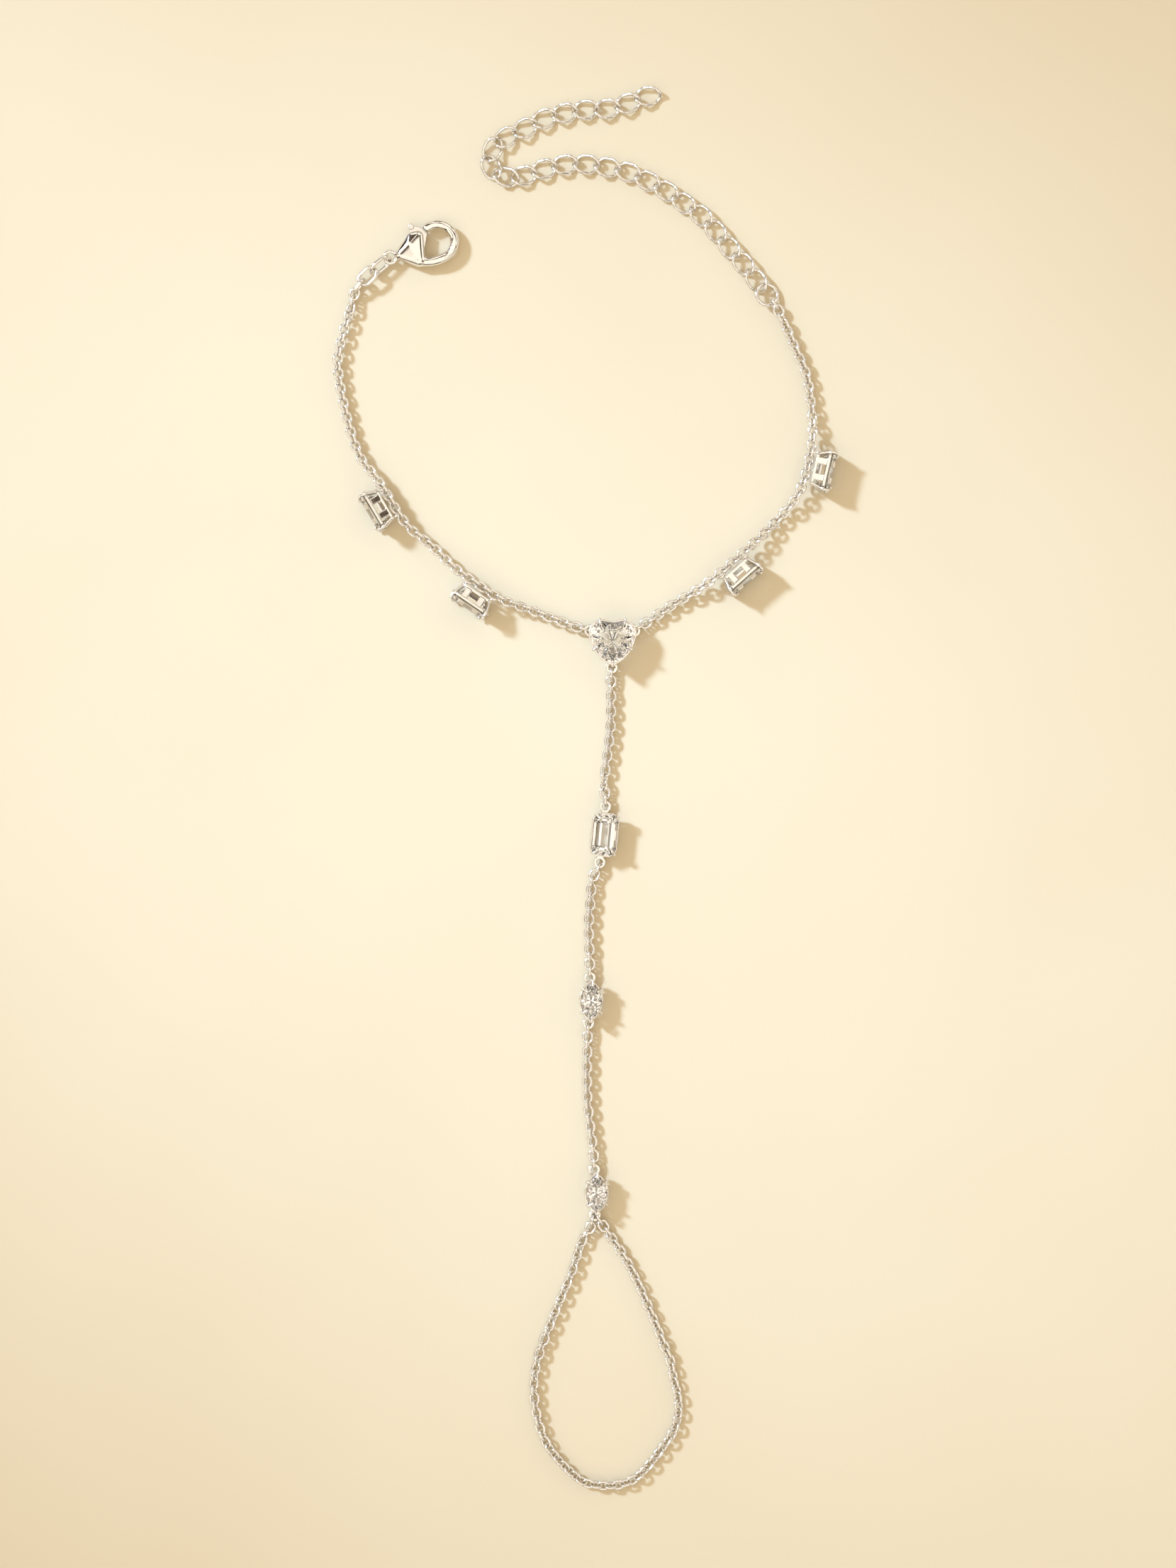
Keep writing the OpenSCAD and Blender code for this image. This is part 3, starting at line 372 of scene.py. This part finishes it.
def routeTree():
    tree, given, link = startTree("linksAlongRoute", (
        ("Count", "NodeSocketInt"), ("Floor Gap", "NodeSocketFloat"), ("Lying Roll", "NodeSocketFloat"),
        ("Most Roll", "NodeSocketFloat"), ("Drift Pace", "NodeSocketFloat"),
        ("Roll Links", "NodeSocketInt"), ("Sway", "NodeSocketFloat"), ("Seed", "NodeSocketInt"),
        ("Metal", "NodeSocketMaterial")))
    curve = addNode(tree, "GeometryNodeMeshToCurve", None, {"Mesh": given["Geometry"]})
    soft = addNode(tree, "GeometryNodeCurveSplineType", {"spline_type": "CATMULL_ROM"}, {
        0: curve.outputs[0]})
    stops = addNode(tree, "GeometryNodeCurveToPoints", {"mode": "COUNT"}, {
        "Curve": soft.outputs[0], "Count": given["Count"]})
    index = addNode(tree, "GeometryNodeInputIndex").outputs[0]
    last = addNode(tree, "ShaderNodeMath", {"operation": "SUBTRACT"}, {0: given["Count"], 1: 1.0})
    left = addNode(tree, "ShaderNodeMath", {"operation": "SUBTRACT"}, {0: last.outputs[0], 1: index})
    nearEnd = addNode(tree, "ShaderNodeMath", {"operation": "MINIMUM"}, {0: index, 1: left.outputs[0]})
    settled = addNode(tree, "ShaderNodeMapRange", {"interpolation_type": "SMOOTHSTEP"}, {
        "Value": nearEnd.outputs[0], "From Min": 0.0, "From Max": given["Roll Links"]})
    wander = addNode(tree, "ShaderNodeTexNoise", {"noise_dimensions": "1D"}, {
        "W": index, "Scale": given["Drift Pace"], "Detail": 0.0})
    drift = addNode(tree, "ShaderNodeMapRange", {"interpolation_type": "SMOOTHSTEP"}, {
        "Value": wander.outputs[0], "From Min": wanderEdge[0], "From Max": wanderEdge[1],
        "To Min": given["Lying Roll"], "To Max": given["Most Roll"]})
    lying = addNode(tree, "ShaderNodeMath", {"operation": "MULTIPLY"}, {
        0: settled.outputs["Result"], 1: drift.outputs["Result"]})
    odd = addNode(tree, "ShaderNodeMath", {"operation": "MODULO"}, {0: index, 1: 2.0})
    upright = addNode(tree, "ShaderNodeMath", {"operation": "MULTIPLY_ADD"}, {
        0: odd.outputs[0], 1: -math.pi / 2, 2: math.pi / 2})
    sway = addNode(tree, "FunctionNodeRandomValue", {"data_type": "FLOAT"}, {"Seed": given["Seed"]})
    floats = [s for s in sway.inputs if s.type == "VALUE"]
    less = addNode(tree, "ShaderNodeMath", {"operation": "MULTIPLY"}, {0: given["Sway"], 1: -1.0})
    tree.links.new(less.outputs[0], floats[0])
    tree.links.new(given["Sway"], floats[1])
    swayOut = next(s for s in sway.outputs if s.type == "VALUE")
    swayed = addNode(tree, "ShaderNodeMath", {"operation": "MULTIPLY_ADD"}, {
        0: swayOut, 1: settled.outputs["Result"], 2: upright.outputs[0]})
    roll = addNode(tree, "ShaderNodeMath", {"operation": "ADD"}, {
        0: lying.outputs[0], 1: swayed.outputs[0]})
    ahead = addNode(tree, "FunctionNodeAlignRotationToVector", {"axis": "X", "pivot_axis": "Z"}, {
        "Vector": stops.outputs["Tangent"]})
    rolled = addNode(tree, "FunctionNodeAxisAngleToRotation", None, {
        "Axis": (1.0, 0.0, 0.0), "Angle": roll.outputs[0]})
    turned = addNode(tree, "FunctionNodeRotateRotation", {"rotation_space": "LOCAL"}, {
        0: ahead.outputs[0], 1: rolled.outputs[0]})
    cosine = addNode(tree, "ShaderNodeMath", {"operation": "COSINE"}, {0: lying.outputs[0]})
    halfWire = addNode(tree, "ShaderNodeMath", {"operation": "MULTIPLY_ADD"}, {
        0: given["Wire"], 1: 0.5, 2: given["Floor Gap"]})
    height = addNode(tree, "ShaderNodeMath", {"operation": "MULTIPLY_ADD"}, {
        0: given["Half Width"], 1: cosine.outputs[0], 2: halfWire.outputs[0]})
    up = addNode(tree, "ShaderNodeCombineXYZ", None, {"Z": height.outputs[0]})
    lifted = addNode(tree, "GeometryNodeSetPosition", None, {
        "Geometry": stops.outputs["Points"], "Offset": up.outputs[0]})
    endTree(tree, given, lifted.outputs[0], link, turned.outputs[0])
    return tree


def makeFingerLoop(p):
    mesh = bpy.data.meshes.new("fingerRoute")
    line = [((p["eye"][0] + x) * mm, (p["eye"][1] + y) * mm, 0.0) for x, y in p["route"]]
    mesh.from_pydata(line, [(i, i + 1) for i in range(len(line) - 1)], [])
    worker = addObject("fingerRoute", mesh)
    tree = routeTree()
    links = worker.modifiers.new("links", "NODES")
    links.node_group = tree
    bend = (p["width"] - p["wire"]) / 2 * mm
    for name, value in (
        ("Half Length", bend), ("Half Width", bend),
        ("Straight", (p["length"] - p["width"]) / 2 * mm),
        ("Wire", p["wire"] * mm), ("Twist", 0.0), ("Steps", p["steps"]), ("Wire Sides", p["wireSides"]),
        ("Count", p["count"]), ("Floor Gap", p["floorGap"] * mm),
        ("Lying Roll", math.radians(p["lyingRoll"])), ("Most Roll", math.radians(p["mostRoll"])),
        ("Drift Pace", p["driftPace"]), ("Roll Links", p["rollLinks"]),
        ("Sway", math.radians(p["sway"])), ("Seed", p["seed"]), ("Metal", wireSilver),
    ):
        setInput(links, tree, name, value)
    finished(asPlainMesh(worker, "finger_links"), "bracelet", wireSilver, "finger_loop")


makeFingerLoop(fingerLoop)


# Extender: twisted curb links of round wire, each where its plain solid lies
extender = {
    "wire": 0.45, "length": 4.05, "width": 2.9,
    "straight": 0.25,  # mm, half of what the sides run straight before the ends bend round
    "twist": 45, "steps": 44, "wireSides": 14,
}


# The points of each separate solid in a CAD node
def solidsOf(node):
    shell = bmesh.new()
    shell.from_mesh(nodes[node].data)
    bmesh.ops.remove_doubles(shell, verts=shell.verts, dist=weld)
    seen, solids = set(), []
    for start in shell.verts:
        if start in seen:
            continue
        seen.add(start)
        group, queue = [], [start]
        while queue:
            corner = queue.pop()
            group.append(corner.co[:])
            for edge in corner.link_edges:
                other = edge.other_vert(corner)
                if other not in seen:
                    seen.add(other)
                    queue.append(other)
        solids.append(np.array(group))
    shell.free()
    return solids


def placesTree():
    tree, given, link = startTree("linksOnPlaces", (("Metal", "NodeSocketMaterial"),))
    places = addNode(tree, "GeometryNodeMeshToPoints", None, {"Mesh": given["Geometry"]})
    turn = addNode(tree, "GeometryNodeInputNamedAttribute", {"data_type": "QUATERNION"}, {
        "Name": "linkTurn"})
    rotation = next(s for s in turn.outputs if s.enabled and s.name == "Attribute")
    endTree(tree, given, places.outputs[0], link, rotation)
    return tree


def makeExtender(p):
    solids = solidsOf("extender_chain")
    middles = [s.mean(axis=0) for s in solids]
    mesh = bpy.data.meshes.new("extenderPlaces")
    mesh.from_pydata([tuple(m) for m in middles], [], [])
    turns = mesh.attributes.new("linkTurn", "QUATERNION", "POINT")
    for i, (solid, middle) in enumerate(zip(solids, middles)):
        axes = np.linalg.svd(solid - middle, full_matrices=False)[2]
        axes[2] = np.cross(axes[0], axes[1])
        turns.data[i].value = Matrix(axes.T.tolist()).to_quaternion()
    worker = addObject("extenderPlaces", mesh)
    tree = placesTree()
    links = worker.modifiers.new("links", "NODES")
    links.node_group = tree
    for name, value in (
        ("Half Length", ((p["length"] - p["wire"]) / 2 - p["straight"]) * mm),
        ("Half Width", (p["width"] - p["wire"]) / 2 * mm),
        ("Straight", p["straight"] * mm), ("Wire", p["wire"] * mm), ("Twist", math.radians(p["twist"])),
        ("Steps", p["steps"]), ("Wire Sides", p["wireSides"]), ("Metal", wireSilver),
    ):
        setInput(links, tree, name, value)
    finished(asPlainMesh(worker, "extender_links"), "bracelet", wireSilver, "extender_chain")


makeExtender(extender)


# Cast pieces: the same shapes with the soft edges that casting and the polishing wheel leave
wheelPass = 0.5  # share of the way to its neighbours' middle that a corner moves in one round
settingCast = {"body": "bracelet", "finish": castSilver, "grain": 0.049, "rounds": 10}
castPieces = {
    "clasp_body": {
        "piece": "clasp_cast", "body": "bracelet", "finish": castSilver, "grain": 0.06, "rounds": 110,
        "regain": 0.06,  # mm, so many rounds thin the hook, and the skin moves back out by this
    },
    **{name: dict(settingCast, piece=name + "_cast") for name in nodes if "setting" in name},
    "clasp_lever": {
        "piece": "lever_stamped", "body": "lever", "finish": leverSilver, "grain": 0.045, "rounds": 4,
    },
}


def makeCast(node, p):
    mesh = nodes[node].data.copy()
    shell = bmesh.new()
    shell.from_mesh(mesh)
    bmesh.ops.remove_doubles(shell, verts=shell.verts, dist=weld)
    shell.to_mesh(mesh)
    shell.free()
    worker = addObject(p["piece"] + "_worker", mesh)
    voxels = worker.modifiers.new("grain", "REMESH")
    voxels.mode = "VOXEL"
    voxels.voxel_size = p["grain"] * mm
    voxels.use_smooth_shade = True
    wheel = worker.modifiers.new("wheel", "SMOOTH")
    wheel.factor = wheelPass
    wheel.iterations = p["rounds"]
    if "regain" in p:
        skin = worker.modifiers.new("regain", "DISPLACE")
        skin.mid_level = 0
        skin.strength = p["regain"] * mm
    finished(asPlainMesh(worker, p["piece"]), p["body"], p["finish"], node)


for node, p in castPieces.items():
    makeCast(node, p)


# Floor: a smooth cream-painted board
board = {
    "size": 5000, "below": 0.02, "paint": "#DCCCAB", "shade": "#D8C5A2", "roughness": 0.85, "sheen": 0.15,
    "mottle": 45, "tooth": 0.4, "toothDepth": 0.01, "detail": 2.0,
}


def makeFloor(p):
    mesh = bpy.data.meshes.new("floor")
    half = p["size"] * mm / 2
    corners = [(x * half, y * half, 0) for x, y in ((-1, -1), (1, -1), (1, 1), (-1, 1))]
    mesh.from_pydata(corners, [], [(0, 1, 2, 3)])
    floor = addObject("floor", mesh)
    floor.location.z = -p["below"] * mm
    material = bpy.data.materials.new("creamPaintedBoard")
    material.use_nodes = True
    tree = material.node_tree
    shader = tree.nodes["Principled BSDF"]
    shader.inputs["Roughness"].default_value = p["roughness"]
    shader.inputs["Specular IOR Level"].default_value = p["sheen"]
    place = addNode(tree, "ShaderNodeTexCoord").outputs["Object"]
    mottle = addNode(tree, "ShaderNodeTexNoise", None, {
        "Vector": place, "Scale": 1 / (p["mottle"] * mm), "Detail": p["detail"]})
    tone = addNode(tree, "ShaderNodeMix", {"data_type": "RGBA"}, {
        0: mottle.outputs["Fac"], 6: linearColour(p["paint"]), 7: linearColour(p["shade"])})
    tree.links.new(tone.outputs[2], shader.inputs["Base Color"])
    tooth = addNode(tree, "ShaderNodeTexNoise", None, {
        "Vector": place, "Scale": 1 / (p["tooth"] * mm), "Detail": p["detail"]})
    bump = addNode(tree, "ShaderNodeBump", None, {
        "Height": tooth.outputs["Fac"], "Distance": p["toothDepth"] * mm})
    tree.links.new(bump.outputs["Normal"], shader.inputs["Normal"])
    mesh.materials.append(material)


makeFloor(board)
print("floor laid")
